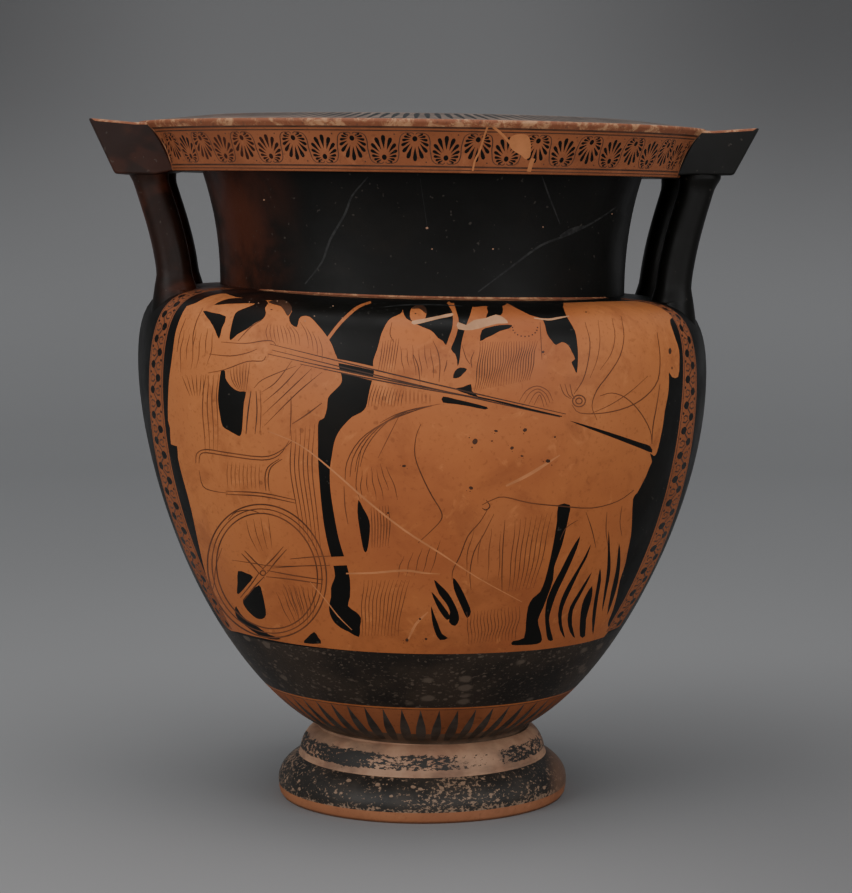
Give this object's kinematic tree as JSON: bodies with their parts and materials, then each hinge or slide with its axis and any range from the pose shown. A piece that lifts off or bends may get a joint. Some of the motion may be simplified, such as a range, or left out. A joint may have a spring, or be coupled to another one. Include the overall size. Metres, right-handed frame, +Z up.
{
  "type": "column krater",
  "caption": "Wide-mouthed fired-clay mixing bowl with tall neck, overhanging rim, stepped foot and a columned handle under a flat plate at each side, painted in red and black.",
  "frame": {"origin": "centre of the resting ring under the foot, on the surface the krater stands on", "axes": "+Z up along the bowl's axis, X through the two handles, the main painted side faces -Y"},
  "size_m": [0.457, 0.4012, 0.4821],
  "materials": {
    "fired_clay": "black gloss slip over reserved orange clay, worn"
  },
  "bodies": {
    "root": {"krater": "fired_clay"}
  },
  "joints": []
}
